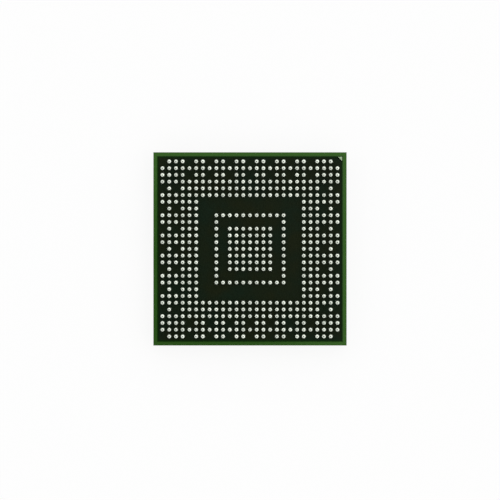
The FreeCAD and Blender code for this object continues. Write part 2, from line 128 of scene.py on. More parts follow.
@dataclass
class Graph:
    """A node tree that is written as expressions."""

    tree: NodeTree

    def node(self, kind: str, settings: dict | None = None, sockets: Sockets | None = None) -> Node:
        """Adds one node.

        Args:
            kind: The node's type.
            settings: Its properties, and "stops" for a ramp. They are set first.
            sockets: Values or wires, by the input's name or number.

        Returns:
            The new node.
        """
        node = self.tree.nodes.new(kind)
        for name, value in (settings or {}).items():
            if name != "stops":
                setattr(node, name, value)
                continue
            stops = node.color_ramp.elements
            while len(stops) < len(value):
                stops.new(1.0)
            for stop, (place, colour) in zip(stops, value):
                stop.position, stop.color = place, (*colour, 1.0)
        for key, value in (sockets or {}).items():
            self.feed(node.inputs[key], value)
        return node

    def feed(self, socket: NodeSocket, value: object) -> None:
        """Links a wire to an input, or sets the input's own value.

        Args:
            socket: The input.
            value: A wire, a number, a colour, a vector or a material.
        """
        if isinstance(value, Wire):
            self.tree.links.new(value.socket, socket)
        elif socket.type == "RGBA" and len(value) == 3:
            socket.default_value = (*value, 1.0)
        else:
            socket.default_value = value

    def wire(
        self,
        kind: str,
        settings: dict | None = None,
        sockets: Sockets | None = None,
        output: int | str = 0,
    ) -> Wire:
        """Adds one node, as node() does, and takes one of its outputs."""
        return Wire(self, self.node(kind, settings, sockets).outputs[output])

    def math(self, operation: str, *values: Wire | float) -> Wire:
        """Adds a Math node with its values in order."""
        return self.wire("ShaderNodeMath", {"operation": operation}, dict(enumerate(values)))

    def vector(self, operation: str, *values: Wire | Point, output: str = "Vector") -> Wire:
        """Adds a Vector Math node with its values in order."""
        settings = {"operation": operation}
        return self.wire("ShaderNodeVectorMath", settings, dict(enumerate(values)), output)

    def scaled(self, value: Wire | Colour, factor: Wire | float) -> Wire:
        """Makes a colour lighter or darker, or a vector longer or shorter, by a factor."""
        settings = {"operation": "SCALE"}
        return self.wire("ShaderNodeVectorMath", settings, {0: value, "Scale": factor})

    def split(self, vector: Wire) -> tuple[Wire, ...]:
        """Takes a vector apart into X, Y and Z."""
        parts = self.node("ShaderNodeSeparateXYZ", sockets={0: vector})
        return tuple(Wire(self, output) for output in parts.outputs)

    def join(self, x: Wire | float = 0.0, y: Wire | float = 0.0, z: Wire | float = 0.0) -> Wire:
        """Makes a vector from X, Y and Z."""
        return self.wire("ShaderNodeCombineXYZ", sockets={0: x, 1: y, 2: z})

    def smooth(self, value: Wire, low: float, high: float) -> Wire:
        """Ramps a value softly, from 0 at the low one to 1 at the high one."""
        sockets = {"Value": value, "From Min": low, "From Max": high}
        return self.wire("ShaderNodeMapRange", {"interpolation_type": "SMOOTHSTEP"}, sockets)

    def between(self, share: Wire, limits: Limits) -> Wire:
        """Goes from the first limit to the second as a share goes from 0 to 1."""
        return limits[0] + (limits[1] - limits[0]) * share

    def blend(self, share: Wire | float, first: Wire | Colour, second: Wire | Colour) -> Wire:
        """Mixes two colours, of which the share of the second goes from 0 to 1."""
        sockets = dict(zip(MIX_INPUTS, (share, first, second)))
        return self.wire("ShaderNodeMix", {"data_type": "RGBA"}, sockets, MIX_OUTPUT)


@dataclass(frozen=True)
class Cloud:
    """A number that drifts over a surface: its limits, features to the millimetre and detail."""

    low: float
    high: float
    scale: float
    detail: float = SOFT


class Surface(Graph):
    """A material being made: its shader, and its place in millimetres on the object."""

    def __init__(self, name: str) -> None:
        """Makes an empty material with a Principled shader.

        Args:
            name: The material's name.
        """
        self.material = bpy.data.materials.new(name)
        self.material.use_nodes = True
        super().__init__(self.material.node_tree)
        self.shader = self.tree.nodes["Principled BSDF"]
        self.place = self.scaled(self.wire("ShaderNodeTexCoord", output="Object"), PER_MM)
        self.x, self.y, self.z = self.split(self.place)

    def from_middle(self) -> Wire:
        """Distance from the middle of the board, measured square to its nearest edge."""
        return self.math("MAXIMUM", self.math("ABSOLUTE", self.x), self.math("ABSOLUTE", self.y))

    def stretched(self, along: Point) -> Wire:
        """Place with each axis drawn out or squeezed, for grain that runs one way."""
        return self.vector("MULTIPLY", self.place, along)

    def noise(self, scale: float, detail: float = SOFT, place: Wire | None = None) -> Wire:
        """Soft random pattern about 0.5, with so many features to the millimetre."""
        sockets = {"Vector": place or self.place, "Scale": scale, "Detail": detail}
        return self.wire("ShaderNodeTexNoise", sockets=sockets, output="Fac")

    def drift(self, cloud: Cloud) -> Wire:
        """Number that drifts over the surface as its cloud says."""
        return self.between(self.noise(cloud.scale, cloud.detail), (cloud.low, cloud.high))

    def bump(self, height: Wire, depth: float) -> Wire:
        """Normal bent by a height, of which 1 stands for a depth in millimetres."""
        return self.wire("ShaderNodeBump", sockets={"Height": height, "Distance": depth * MM})

    def dress(self, sockets: Sockets) -> Material:
        """Feeds the shader.

        Args:
            sockets: Values or wires, by the shader's input.

        Returns:
            The finished material.
        """
        for name, value in sockets.items():
            self.feed(self.shader.inputs[name], value)
        return self.material


class Finish(Protocol):
    """What every finish can do."""

    def sockets(self, s: Surface) -> Sockets:
        """Works out the shader's inputs."""


@dataclass(frozen=True)
class MaskFinish:
    """Solder mask: almost black green over copper, clear green over the bare laminate's edge."""

    half_side: float = 11.5
    setback: float = 0.46
    copper_edge: Limits = (-0.1, 0.08)
    rim_edge: Limits = (0.08, 0.28)
    ragged: Cloud = Cloud(-0.025, 0.025, 9.0)
    over_copper: Stops = (
        (0.35, display(17, 30, 18)),
        (0.5, display(20, 29, 15)),
        (0.65, display(23, 29, 13)),
    )
    over_copper_rim: Colour = display(8, 36, 3)
    hue_scale: float = 0.35
    mottle: Cloud = Cloud(0.8, 1.2, 5.0, FINE)
    over_laminate: Colour = display(55, 93, 37)
    over_laminate_deep_and_shaded: Colour = display(42, 78, 25)
    # Painted light: how much lighter the clear mask grows towards the right and top sides, and
    # towards the top-right corner
    painted_light_to_sides: float = 0.5
    painted_light_to_corner: float = 0.25
    thickness: Cloud = Cloud(0.0, 0.6, 1.6, CLEAR)
    thin_and_lit: Limits = (0.0, 0.9)
    mark_inset: float = 0.08
    mark_leg: float = 0.48
    # Painted shade along the corner mark's long side: its colour, where it starts and fades, and
    # how far past the mark's ends it reaches
    painted_shade_colour: Colour = display(4, 7, 3)
    painted_shade_near: Limits = (-0.02, 0.03)
    painted_shade_far: Limits = (0.14, 0.24)
    painted_shade_end: float = 0.12
    roughness: Cloud = Cloud(0.2, 0.3, 4.0)
    specular: float = 0.25
    copper_step: float = 0.7
    ripple: Cloud = Cloud(0.0, 0.15, 3.0, CLEAR)
    relief: float = 0.02

    def sockets(self, s: Surface) -> Sockets:
        """Works out the shader's inputs.

        Args:
            s: The surface.

        Returns:
            Values and wires, by input.
        """
        inside = (self.half_side - self.setback) - s.from_middle() + s.drift(self.ragged)
        on_copper = s.smooth(inside, *self.copper_edge)
        past_rim = s.smooth(inside, *self.rim_edge)
        hues = {"stops": self.over_copper}
        hue = s.wire("ShaderNodeValToRGB", hues, {0: s.noise(self.hue_scale)})
        dark = s.blend(past_rim, self.over_copper_rim, s.scaled(hue, s.drift(self.mottle)))
        # Painted light: the clear mask over the laminate grows lighter towards the right and top
        # sides and the top-right corner, where the light leans from; the thickness cloud adds a
        # real random drift on top
        painted_light_lean = s.math("MAXIMUM", s.x, s.y) * self.painted_light_to_sides + (s.x + s.y) * self.painted_light_to_corner
        thinness_and_painted_light = painted_light_lean / self.half_side + s.drift(self.thickness)
        thin_and_lit = s.smooth(thinness_and_painted_light, *self.thin_and_lit)
        clear = s.blend(thin_and_lit, self.over_laminate_deep_and_shaded, self.over_laminate)
        return {
            # The base colour carries a painted shade line along the corner mark
            "Base Color": s.blend(self._painted_shade_line(s), s.blend(on_copper, clear, dark), self.painted_shade_colour),
            "Roughness": s.drift(self.roughness),
            "Specular IOR Level": self.specular,
            "Normal": s.bump(on_copper * self.copper_step + s.drift(self.ripple), self.relief),
        }

    def _painted_shade_line(self, s: Surface) -> Wire:
        """Painted shade: dark line in the mask along the long side of the corner mark, where shade
        falls in the trench at the mask's edge.

        Args:
            s: The surface that it is drawn on.

        Returns:
            Its strength, from 0 to 1.
        """
        corner = self.half_side - self.setback - self.mark_inset
        beyond = (2 * corner - self.mark_leg) - (s.x + s.y)
        line = s.smooth(beyond, *self.painted_shade_near) * (1 - s.smooth(beyond, *self.painted_shade_far))
        aside = s.math("ABSOLUTE", s.x - s.y)
        return line * (1 - s.smooth(aside, self.mark_leg, self.mark_leg + self.painted_shade_end))


@dataclass(frozen=True)
class LaminateFinish:
    """Sawn edge of the board: plies of glass cloth in resin, between two stacks of thin layers."""

    foot: float = 0.9
    top: float = 1.9
    build_up: float = 0.11
    build_up_blur: float = 0.01
    films: int = 3
    film_seam: float = 0.006
    film_tone: Cloud = Cloud(0.85, 1.15, 6.0, CLEAR)
    plies: int = 4
    ply_shift: float = 0.37
    weave: float = 0.9
    weave_stray: Cloud = Cloud(-0.45, 0.45, 0.8)
    thread_wave: float = 0.25
    thread_stray: Cloud = Cloud(-0.08, 0.08, 3.0)
    thread: Limits = (0.06, 0.22)
    end_wave: float = 0.2
    end_squeeze: tuple[float, float] = (2.3, 4.2)
    end: Limits = (0.6, 1.2)
    end_share: float = 0.7
    glass: Colour = display(162, 158, 117)
    ends: Colour = display(140, 136, 94)
    resin: Colour = display(112, 109, 68)
    film: Colour = display(104, 103, 60)
    seam: Colour = display(66, 65, 38)
    fibre_grain: Point = (6.0, 6.0, 70.0)
    glass_share: Limits = (0.35, 0.85)
    core_tone: Limits = (0.75, 1.25)
    roughness: Limits = (0.62, 0.82)
    specular: float = 0.35
    saw_grain: Point = (2.0, 2.0, 60.0)
    saw_share: float = 0.6
    relief: float = 0.01

    def sockets(self, s: Surface) -> Sockets:
        """Works out the shader's inputs.

        Args:
            s: The surface.

        Returns:
            Values and wires, by input.
        """
        half = (self.top - self.foot) / 2
        from_face = half - s.math("ABSOLUTE", s.z - (self.foot + half))
        blur = self.build_up_blur
        in_core = s.smooth(from_face, self.build_up - blur, self.build_up + blur)
        fibres = s.noise(1.0, FINE, s.stretched(self.fibre_grain))
        threads, ends = self._weave(s)
        core = s.blend(ends * self.end_share, self.resin, self.ends)
        core = s.blend(threads * s.between(fibres, self.glass_share), core, self.glass)
        core = s.scaled(core, s.between(fibres, self.core_tone))
        within_film = s.math("PINGPONG", from_face, self.build_up / self.films / 2)
        seams = 1 - s.smooth(within_film, 0.0, self.film_seam)
        stack = s.scaled(s.blend(seams, self.film, self.seam), s.drift(self.film_tone))
        saw = s.noise(1.0, CLEAR, s.stretched(self.saw_grain))
        height = saw * self.saw_share + threads * (1 - self.saw_share)
        return {
            "Base Color": s.blend(in_core, stack, core),
            "Roughness": s.between(fibres, self.roughness),
            "Specular IOR Level": self.specular,
            "Normal": s.bump(height, self.relief),
        }

    def _weave(self, s: Surface) -> tuple[Wire, Wire]:
        """Glass cloth cut along its threads: wavy ones along the edge, cut ends between them.

        Args:
            s: The surface that it is drawn on.

        Returns:
            Strength of the threads along the edge, and of the cut ends.
        """
        core = self.top - self.foot - 2 * self.build_up
        level = (s.z - (self.foot + self.build_up)) / (core / self.plies)
        ply = s.math("FLOOR", level)
        rise = level - ply
        phase = (s.x + s.y) / self.weave + ply * self.ply_shift + s.drift(self.weave_stray)
        wave = s.math("SINE", phase * (2 * math.pi))
        off_thread = s.math("ABSOLUTE", rise - (0.5 + self.thread_wave * wave))
        threads = 1 - s.smooth(off_thread + s.drift(self.thread_stray), *self.thread)
        along = (s.math("FRACT", phase * 2) - 0.5) * self.end_squeeze[0]
        across = (rise - (0.5 - self.end_wave * wave)) * self.end_squeeze[1]
        return threads, 1 - s.smooth(along * along + across * across, *self.end)


@dataclass(frozen=True)
class MetalFinish:
    """Bare or plated metal with its own grain."""

    light: Colour
    dark: Colour
    metallic: float = 1.0
    roughness: Limits = (0.225, 0.375)
    cloud_scale: float = 2.0
    grain: float = 8.0
    relief: float = 0.004

    def sockets(self, s: Surface) -> Sockets:
        """Works out the shader's inputs.

        Args:
            s: The surface.

        Returns:
            Values and wires, by input.
        """
        cloud = s.smooth(s.noise(self.cloud_scale, CLEAR), *HALVES)
        grain = s.noise(self.grain, FINE)
        return {
            "Base Color": s.blend(cloud, self.dark, self.light),
            "Metallic": self.metallic,
            "Roughness": s.between(grain, self.roughness),
            "Normal": s.bump(grain, self.relief),
        }


@dataclass(frozen=True)
class BallFinish:
    """Reflowed solder: bright, a little frosted, each ball with a tone of its own."""

    tone: str = "ball_tone"
    bright: Colour = display(216, 222, 210)
    dull: Colour = display(188, 194, 183)
    stain: Colour = display(112, 120, 101)
    frost_scale: float = 7.0
    frost_share: float = 0.7
    spot_scale: float = 11.0
    spot: Limits = (0.6, 0.78)
    spot_share: float = 0.35
    metallic: float = 0.84
    roughness: float = 0.04
    frost_roughness: float = 0.08
    tone_roughness: float = 0.06
    dimple_scale: float = 5.0
    relief: float = 0.013

    def sockets(self, s: Surface) -> Sockets:
        """Works out the shader's inputs.

        Args:
            s: The surface.

        Returns:
            Values and wires, by input.
        """
        tone = s.wire("ShaderNodeAttribute", {"attribute_name": self.tone}, output="Fac")
        frost = s.noise(self.frost_scale, FINE)
        shine = s.smooth(frost * self.frost_share + tone * (1 - self.frost_share), *HALVES)
        spots = s.smooth(s.noise(self.spot_scale), *self.spot)
        clean = s.blend(shine, self.dull, self.bright)
        frosting = self.frost_roughness * frost + self.tone_roughness * tone
        return {
            "Base Color": s.blend(spots * self.spot_share, clean, self.stain),
            "Metallic": self.metallic,
            "Roughness": self.roughness + frosting,
            "Normal": s.bump(s.noise(self.dimple_scale), self.relief),
        }


@dataclass(frozen=True)
class SiliconFinish:
    """Back of the die, ground flat: dark mirror with fine arcs from the grinding wheel."""

    base: Colour = display(92, 96, 105)
    shade: Colour = display(86, 90, 99)
    cloud_scale: float = 0.4
    wheel: Point = (19.0, -26.0, 0.0)
    arcs_per_mm: float = 5.0
    arc_drift: float = 0.3
    roughness: Limits = (0.16, 0.3)
    relief: float = 0.0012

    def sockets(self, s: Surface) -> Sockets:
        """Works out the shader's inputs.

        Args:
            s: The surface.

        Returns:
            Values and wires, by input.
        """
        away = s.vector("LENGTH", s.vector("SUBTRACT", s.place, self.wheel), output="Value")
        along_arc = s.join(away * self.arcs_per_mm, s.noise(self.arc_drift))
        arcs = s.noise(1.0, FINE, along_arc)
        cloud = s.smooth(s.noise(self.cloud_scale), *HALVES)
        return {
            "Base Color": s.blend(cloud, self.shade, self.base),
            "Metallic": 1.0,
            "Roughness": s.between(arcs, self.roughness),
            "Normal": s.bump(arcs, self.relief),
        }


@dataclass(frozen=True)
class FilledFinish:
    """Resin or fired ceramic: a body colour, with grains of filler in it."""

    body: Colour
    grains: Colour
    roughness: Limits = (0.44, 0.56)
    grain: float = 14.0
    speck: Limits = (0.62, 0.72)
    share: float = 0.25
    cloud_scale: float = 1.2
    tone: Limits = (0.8, 1.2)
    relief: float = 0.004

    def sockets(self, s: Surface) -> Sockets:
        """Works out the shader's inputs.

        Args:
            s: The surface.

        Returns:
            Values and wires, by input.
        """
        specks = s.smooth(s.noise(self.grain), *self.speck)
        cloud = s.noise(self.cloud_scale, CLEAR)
        body = s.scaled(self.body, s.between(cloud, self.tone))
        return {
            "Base Color": s.blend(specks * self.share, body, self.grains),
            "Roughness": s.between(cloud, self.roughness),
            "Normal": s.bump(s.noise(self.grain / 2, CLEAR), self.relief),
        }


class Slot(Enum):
    """Material slots of the record."""

    LAMINATE = "laminate"
    COPPER = "copper"
    MASK = "solder_mask"
    PLATING = "plating"
    SOLDER = "solder"
    SILICON = "silicon"
    RESIN = "underfill_resin"
    CERAMIC = "capacitor_ceramic"
    TIN = "tin_end_cap"


FINISH_BY_SLOT: dict[Slot, Finish] = {
    Slot.LAMINATE: LaminateFinish(),
    Slot.COPPER: MetalFinish(display(206, 132, 94), display(172, 98, 66)),
    Slot.MASK: MaskFinish(),
    Slot.PLATING: MetalFinish(
        display(184, 208, 168), display(160, 186, 148), metallic=0.35, roughness=(0.32, 0.52)
    ),
    Slot.SOLDER: BallFinish(),
    Slot.SILICON: SiliconFinish(),
    Slot.RESIN: FilledFinish(
        display(32, 34, 38), display(60, 62, 64), (0.34, 0.46), grain=22.0, share=0.3, relief=0.003
    ),
    Slot.CERAMIC: FilledFinish(
        display(132, 100, 70), display(160, 132, 100), (0.49, 0.61), grain=10.0, share=0.4
    ),
    Slot.TIN: MetalFinish(display(206, 206, 200), display(176, 177, 172), roughness=(0.265, 0.415)),
}


@dataclass
class Finishes:
    """The material of every slot, each made once."""

    made: dict[Slot, Material] = field(default_factory=dict)

    def of(self, slot: Slot) -> Material:
        """Gives a slot's material, and makes it when it is first asked for.

        Args:
            slot: The slot.

        Returns:
            Its material.
        """
        if slot not in self.made:
            surface = Surface(f"finish_{slot.value}")
            self.made[slot] = surface.dress(FINISH_BY_SLOT[slot].sockets(surface))
        return self.made[slot]

    def dress_node(self, name: str, slot: Slot) -> None:
        """Gives a piece of the frame its finish.

        Args:
            name: The node's name.
            slot: Its slot.
        """
        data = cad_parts[name].data
        data.materials.clear()
        data.materials.append(self.of(slot))
        log.info("%s keeps its form and takes %s", name, self.of(slot).name)

    def add_piece(self, name: str, data: Mesh, slot: Slot, nodes: list[str]) -> None:
        """Sets a finished mesh in the place of nodes of the frame.

        Args:
            name: The piece's name.
            data: Its mesh, in its place.
            slot: The record's slot for it.
            nodes: The nodes that it stands for.
        """
        data.name = name
        data.materials.clear()
        data.materials.append(self.of(slot))
        piece = in_scene(bpy.data.objects.new(name, data))
        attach(piece, ROOT)
        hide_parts(*nodes)
        log.info("%s: %d faces, stands for %d nodes", name, len(data.polygons), len(nodes))


def in_scene(thing: Object) -> Object:
    """Puts an object into the scene, and gives it back."""
    bpy.context.scene.collection.objects.link(thing)
    return thing


def mesh_of(shape: BMesh, crease: float | None = None) -> Mesh:
    """Turns a finished shape into mesh data, with its faces outwards.

    Args:
        shape: The shape, which is freed.
        crease: Degrees past which an edge of a smooth shape stays sharp, or None for flat faces.

    Returns:
        The mesh.
    """
    bmesh.ops.remove_doubles(shape, verts=shape.verts, dist=MERGE)
    bmesh.ops.recalc_face_normals(shape, faces=shape.faces)
    for face in shape.faces:
        face.smooth = crease is not None
    data = bpy.data.meshes.new("shape")
    shape.to_mesh(data)
    shape.free()
    if crease is not None:
        data.set_sharp_from_angle(angle=math.radians(crease))
    return data


def band(shape: BMesh, near: list[BMVert], far: list[BMVert]) -> None:
    """Joins two closed rings of corners with faces."""
    for index in range(len(near)):
        shape.faces.new((near[index - 1], near[index], far[index], far[index - 1]))


def loft(shape: BMesh, rings: list[Ring]) -> None:
    """Joins rings of equal count with faces, and closes both ends.

    Args:
        shape: The shape that the faces are added to.
        rings: Rings of points, in order.
    """
    loops = [[shape.verts.new(point) for point in ring] for ring in rings]
    for near, far in zip(loops, loops[1:]):
        band(shape, near, far)
    shape.faces.new(loops[0][::-1])
    shape.faces.new(loops[-1])


class Tree(Graph):
    """A Geometry Nodes tree with named inputs, and the modifier that runs it."""

    def __init__(self, name: str, inputs: dict[str, str]) -> None:
        """Makes the tree and its interface.

        Args:
            name: The tree's name.
            inputs: Kind of socket by the input's name.
        """
        super().__init__(bpy.data.node_groups.new(name, "GeometryNodeTree"))
        interface = self.tree.interface
        self.identifiers: dict[str, str] = {}
        for label, kind in inputs.items():
            socket = interface.new_socket(label, in_out="INPUT", socket_type=f"NodeSocket{kind}")
            self.identifiers[label] = socket.identifier
        interface.new_socket("Shape", in_out="OUTPUT", socket_type="NodeSocketGeometry")
        self.start = self.node("NodeGroupInput")

    def given(self, label: str) -> Wire:
        """Wire of one of the tree's inputs."""
        return Wire(self, self.start.outputs[label])

    def finish(self, instances: Wire, material: Wire) -> None:
        """Ends the tree: instances become one mesh, with its material.

        Args:
            instances: What was placed.
            material: The material.
        """
        real = self.wire("GeometryNodeRealizeInstances", sockets={"Geometry": instances})
        sockets = {"Geometry": real, "Material": material}
        dressed = self.wire("GeometryNodeSetMaterial", sockets=sockets)
        self.node("NodeGroupOutput", sockets={0: dressed})

    def run(self, base: Mesh, values: dict[str, object]) -> Mesh:
        """Runs the tree on a mesh and keeps the result as a plain mesh.

        Args:
            base: The mesh that goes in.
            values: The other inputs, by name.

        Returns:
            The plain mesh.
        """
        carrier = in_scene(bpy.data.objects.new("carrier", base))
        modifier = carrier.modifiers.new("tree", "NODES")
        modifier.node_group = self.tree
        for label, value in values.items():
            modifier[self.identifiers[label]] = value
        depsgraph = bpy.context.evaluated_depsgraph_get()
        result = bpy.data.meshes.new_from_object(carrier.evaluated_get(depsgraph))
        carrier.modifiers.remove(modifier)
        bpy.data.objects.remove(carrier)
        return result


def places_mesh(places: list[Point], turns: list[float] | None = None) -> Mesh:
    """Makes a mesh of lone points to set shapes on.

    Args:
        places: The points.
        turns: Turn of each shape about Z, in radians, kept as the attribute "turn".

    Returns:
        The mesh.
    """
    data = bpy.data.meshes.new("places")
    data.from_pydata(places, [], [])
    if turns:
        attribute = data.attributes.new("turn", "FLOAT", "POINT")
        attribute.data.foreach_set("value", turns)
    return data


class Field(Enum):
    """Groups of balls on the ball side."""

    OUTER = "outer_field_balls"
    RING = "ring_balls"
    CORE = "core_balls"


@dataclass
class Assembly:
    """A part of the package, and where its finishes come from."""

    finishes: Finishes


@dataclass
class BallGrid(Assembly):
    """533 solder balls on a square grid, with the bare places of the ball map."""

    pitch: float = 0.8 * MM
    places: int = 27
    field_rows: int = 6
    rows_to_ring: int = 8
    rows_to_core: int = 10
    gap_rows: tuple[int, int] = (0, 2)
    gap_step: int = 3
    gap_reach: int = 9
    diameter: float = 0.55 * MM
    foot: float = 0.44 * MM
    segments: int = 10
    rings: int = 6
    shrink: float = 0.02
    seed: int = 5

    def group(self, column: int, row: int) -> Field | None:
        """Says which group a grid place's ball belongs to.

        Args:
            column: Place along X, from 0.
            row: Place along Y, from 0.

        Returns:
            The group, or None for a bare place.
        """
        last = self.places - 1
        from_x = min(column, last - column)
        from_y = min(row, last - row)
        depth = min(from_x, from_y)
        if depth >= self.rows_to_core:
            return Field.CORE
        if depth == self.rows_to_ring:
            return Field.RING
        if depth >= self.field_rows or from_x == from_y == 0:
            return None
        for across, along in ((from_x, row), (from_y, column)):
            from_middle = abs(along - last // 2)
            bare = from_middle <= self.gap_reach and from_middle % self.gap_step == 0
            if across in self.gap_rows and bare:
                return None
        return Field.OUTER

    def tree(self) -> Tree:
        """Builds the tree that sets a ball on every place.

        Returns:
            The tree. Its ball is true down to a flat foot, and its rings are spread evenly.
        """
        inputs = {"Places": "Geometry", "Finish": "Material"}
        inputs |= dict.fromkeys(("Ball Diameter", "Foot Diameter", "Shrink"), "Float")
        inputs |= dict.fromkeys(("Segments", "Rings", "Seed"), "Int")
        tree = Tree("solder_balls", inputs)
        radius = tree.given("Ball Diameter") * 0.5
        foot = tree.given("Foot Diameter") * 0.5
        drop = tree.math("SQRT", radius * radius - foot * foot)
        rings = tree.given("Rings")
        sockets = {"Segments": tree.given("Segments"), "Rings": rings, "Radius": radius}
        ball = tree.wire("GeometryNodeMeshUVSphere", sockets=sockets)
        x, y, z = tree.split(tree.wire("GeometryNodeInputPosition"))
        down = tree.math("ARCCOSINE", z / radius)
        to_foot = math.pi - tree.math("ARCCOSINE", drop / radius)
        angle = tree.math("MINIMUM", down * to_foot * rings / ((rings - 1) * math.pi), to_foot)
        spread = tree.math("SINE", angle) / tree.math("SINE", down)
        raised = radius * tree.math("COSINE", angle) + drop
        sockets = {"Geometry": ball, "Position": tree.join(x * spread, y * spread, raised)}
        ball = tree.wire("GeometryNodeSetPosition", sockets=sockets)
        seed = tree.given("Seed")
        smallest = 1 - tree.given("Shrink")
        width = self._random(tree, smallest, 1.0, seed + 1)
        height = self._random(tree, smallest, 1.0, seed + 2)
        sockets = {
            "Points": tree.given("Places"),
            "Instance": tree.wire("GeometryNodeSetShadeSmooth", sockets={"Geometry": ball}),
            "Rotation": tree.join(z=self._random(tree, 0.0, 2 * math.pi, seed)),
            "Scale": tree.join(width, width, height),
        }
        placed = tree.wire("GeometryNodeInstanceOnPoints", sockets=sockets)
        tone = self._random(tree, 0.0, 1.0, seed + 3)
        settings = {"data_type": "FLOAT", "domain": "INSTANCE"}
        sockets = {"Geometry": placed, "Name": BallFinish.tone, "Value": tone}
        toned = tree.wire("GeometryNodeStoreNamedAttribute", settings, sockets)
        tree.finish(toned, tree.given("Finish"))
        return tree

    def _random(self, tree: Tree, low: Wire | float, high: float, seed: Wire) -> Wire:
        """A number of its own for each point, between two limits."""
        sockets = dict(zip(RANDOM_INPUTS, (low, high, seed)))
        return tree.wire("FunctionNodeRandomValue", {"data_type": "FLOAT"}, sockets, RANDOM_OUTPUT)

    def build(self) -> None:
        """Sets the three groups of balls on the mask's face."""
        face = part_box(Field.CORE.value)[0].z
        half = (self.places - 1) / 2
        grid = [(column, row) for column in range(self.places) for row in range(self.places)]
        values = {
            "Ball Diameter": self.diameter,
            "Foot Diameter": self.foot,
            "Segments": self.segments,
            "Rings": self.rings,
            "Shrink": self.shrink,
            "Seed": self.seed,
            "Finish": self.finishes.of(Slot.SOLDER),
        }
        tree = self.tree()
        for group in Field:
            places = [
                ((column - half) * self.pitch, (row - half) * self.pitch, face)
                for column, row in grid
                if self.group(column, row) is group
            ]
            name = f"round_{group.value}"
            data = tree.run(places_mesh(places), values)
            self.finishes.add_piece(name, data, Slot.SOLDER, [group.value])


@dataclass
class Board(Assembly):
    """Laminate with its copper planes, solder masks, corner marks and fiducials."""

    layers: tuple[tuple[Slot, tuple[str, ...]], ...] = (
        (Slot.LAMINATE, ("laminate_board",)),
        (Slot.COPPER, ("ball_side_copper", "die_side_copper")),
        (Slot.MASK, ("ball_side_mask", "die_side_mask")),
        (Slot.PLATING, ("ball_side_corner_mark", "die_side_corner_mark", "fiducials")),
    )

    def build(self) -> None:
        """Dresses the board's layers, whose forms come from the frame."""
        for slot, nodes in self.layers:
            for node in nodes:
                self.finishes.dress_node(node, slot)


@dataclass
class Die(Assembly):
    """Silicon die, with the resin that fills its bump gap and climbs its sides."""

    edge_round: float = 0.012 * MM
    edge_steps: int = 2
    edge_profile: float = 0.6
    bump_gap: float = 0.075 * MM
    resin_width: float = 0.85 * MM
    waist_width: float = 0.3 * MM
    lip_width: float = 0.04 * MM
    waist_height: float = 0.24 * MM
    lip_height: float = 0.58 * MM
    dispense_width: float = 0.65 * MM
    dispense_power: int = 3
    foot_corner: float = 0.9 * MM
    lip_corner: float = 0.1 * MM
    levels: int = 10
    corner_steps: int = 8
    side_steps: int = 24
    crease: float = 50.0
    wander: float = 0.035 * MM
    wander_per_metre: tuple[float, float] = (5100.0, 4300.0)
    wander_start: float = 1.0

    def build(self) -> None:
        """Makes the die and the underfill."""
        self.finishes.add_piece("ground_die", self._ground(), Slot.SILICON, ["silicon_die"])
        shape = bmesh.new()
        loft(shape, self._underfill_rings())
        data = mesh_of(shape, self.crease)
        self.finishes.add_piece("underfill_fillet", data, Slot.RESIN, ["underfill"])

    def _ground(self) -> Mesh:
        """The die, with its edges rounded off a little.

        Returns:
            Its mesh.
        """
        shape = bmesh.new()
        made = bmesh.ops.create_cube(shape, size=1.0)
        low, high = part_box("silicon_die")
        middle = (low + high) / 2
        size = high - low
        for corner in made["verts"]:
            corner.co = [way * span + at for way, span, at in zip(corner.co, size, middle)]
        bmesh.ops.bevel(
            shape,
            geom=shape.edges,
            offset=self.edge_round,
            segments=self.edge_steps,
            affect="EDGES",
            profile=self.edge_profile,
        )
        return mesh_of(shape)

    def _profile(self, share: float) -> tuple[float, float]:
        """Width and height of the fillet, part of the way from its foot to its lip.

        Args:
            share: 0 at the foot, 1 at the lip.

        Returns:
            Width out from the die and height above the board.
        """
        back = 1 - share
        pull_width = 2 * self.waist_width - (self.resin_width + self.lip_width) / 2
        pull_height = 2 * self.waist_height - self.lip_height / 2
        at_lip, pulled, at_foot = share * share, 2 * back * share, back * back
        width = at_foot * self.resin_width + pulled * pull_width + at_lip * self.lip_width
        height = pulled * pull_height + at_lip * self.lip_height
        return width, height

    def _outline(
        self, half: float, corner: float, height: float, extra: float = 0.0, wander: float = 0.0
    ) -> Ring:
        """One level outline: a square with round corners, drawn out on the dispense side.

        Args:
            half: Half the square's width.
            corner: Corner radius.
            height: Z of the outline.
            extra: How much further the dispense side reaches, towards +Y.
            wander: How far the edge strays inwards.

        Returns:
            The ring of points.
        """
        ring = []
        for quarter in range(4):
            angle = math.radians(90 * quarter)
            along = Vector((math.cos(angle), math.sin(angle)))
            out = Vector((along.y, -along.x))
            for step in range(self.side_steps):
                share = step / self.side_steps
                ring.append(out * half + along * (half - corner) * (2 * share - 1))
            centre = (out + along) * (half - corner)
            for step in range(self.corner_steps):
                turn = math.radians(90 * step / self.corner_steps)
                ring.append(centre + (out * math.cos(turn) + along * math.sin(turn)) * corner)
        points = []
        per_x, per_y = self.wander_per_metre
        for place in ring:
            wave = math.sin(place.x * per_x) * math.cos(place.y * per_y + self.wander_start)
            place = place * (1 - wander * (0.5 + 0.5 * wave) / half)
            reach = max(0.0, place.y / half)
            points.append((place.x, place.y + extra * reach ** self.dispense_power, height))
        return points

    def _underfill_rings(self) -> list[Ring]:
        """Rings of the underfill, from the board up to its lip and down inside to the die's face.

        Returns:
            The rings.
        """
        rings = []
        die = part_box("silicon_die")[1]
        half_die, face = die.x, die.z + self.bump_gap
        for level in range(self.levels + 1):
            width, height = self._profile(level / self.levels)
            fade = (1 - level / self.levels) ** 2
            corner = self.lip_corner + (self.foot_corner - self.lip_corner) * fade
            extra, wander = self.dispense_width * fade, self.wander * fade
            rings.append(self._outline(half_die + width, corner, face - height, extra, wander))
        for height in (self.lip_height, self.bump_gap):
            rings.append(self._outline(half_die, self.edge_round, face - height))
        return rings


